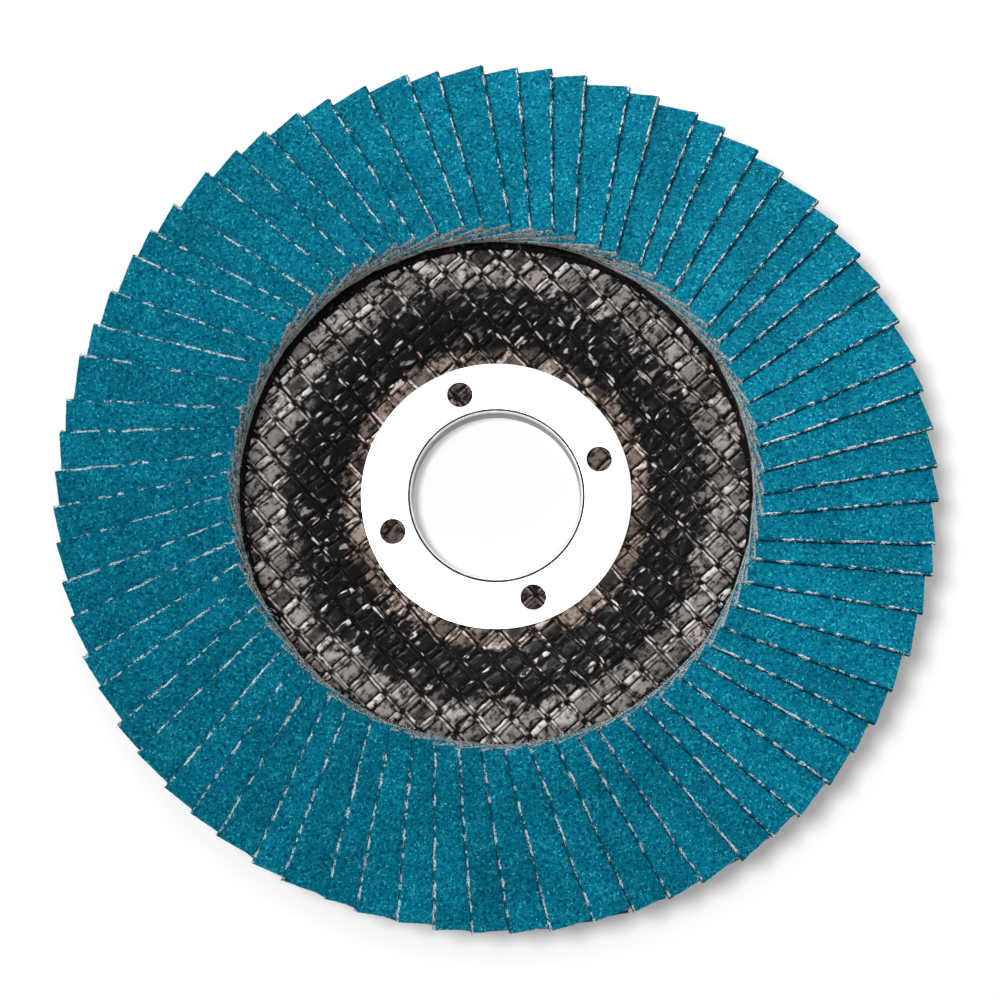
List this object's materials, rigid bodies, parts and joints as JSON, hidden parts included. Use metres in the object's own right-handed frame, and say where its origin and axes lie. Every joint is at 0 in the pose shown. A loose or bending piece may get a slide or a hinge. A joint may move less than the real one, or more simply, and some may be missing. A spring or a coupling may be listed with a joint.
{
  "type": "flap disc",
  "caption": "Round grinding disc of overlapping abrasive cloth flaps on a set-back woven backing plate with a plain steel-lined centre bore.",
  "frame": {"origin": "on the bore axis, in the flat back face of the hub, which the disc lies on", "axes": "+Z along the bore axis, from the back towards the abrasive side; +X and +Y in the hub's back face, with the first of the ring's four holes 19 degrees anticlockwise from +X"},
  "size_m": [0.1151, 0.1151, 0.0114],
  "materials": {
    "flap_cloth": "blue abrasive grain on cotton cloth, rough",
    "plate_laminate": "black resin over woven glass, satin",
    "adhesive_resin": "dark cured resin, semi-matt",
    "ring_steel": "bright tin-plated steel, satin"
  },
  "bodies": {
    "root": {"backing_plate": "plate_laminate", "adhesive_bed": "adhesive_resin", "centre_ring": "ring_steel", "flap_pair_01": "flap_cloth", "flap_pair_02": "flap_cloth", "flap_pair_03": "flap_cloth", "flap_pair_04": "flap_cloth", "flap_pair_05": "flap_cloth", "flap_pair_06": "flap_cloth", "flap_pair_07": "flap_cloth", "flap_pair_08": "flap_cloth", "flap_pair_09": "flap_cloth", "flap_pair_10": "flap_cloth", "flap_pair_11": "flap_cloth", "flap_pair_12": "flap_cloth", "flap_pair_13": "flap_cloth", "flap_pair_14": "flap_cloth", "flap_pair_15": "flap_cloth", "flap_pair_16": "flap_cloth", "flap_pair_17": "flap_cloth", "flap_pair_18": "flap_cloth", "flap_pair_19": "flap_cloth", "flap_pair_20": "flap_cloth", "flap_pair_21": "flap_cloth", "flap_pair_22": "flap_cloth", "flap_pair_23": "flap_cloth", "flap_pair_24": "flap_cloth", "flap_pair_25": "flap_cloth", "flap_pair_26": "flap_cloth", "flap_pair_27": "flap_cloth", "flap_pair_28": "flap_cloth", "flap_pair_29": "flap_cloth", "flap_pair_30": "flap_cloth", "flap_pair_31": "flap_cloth", "flap_pair_32": "flap_cloth", "flap_pair_33": "flap_cloth", "flap_pair_34": "flap_cloth", "flap_pair_35": "flap_cloth", "flap_pair_36": "flap_cloth"}
  },
  "joints": []
}
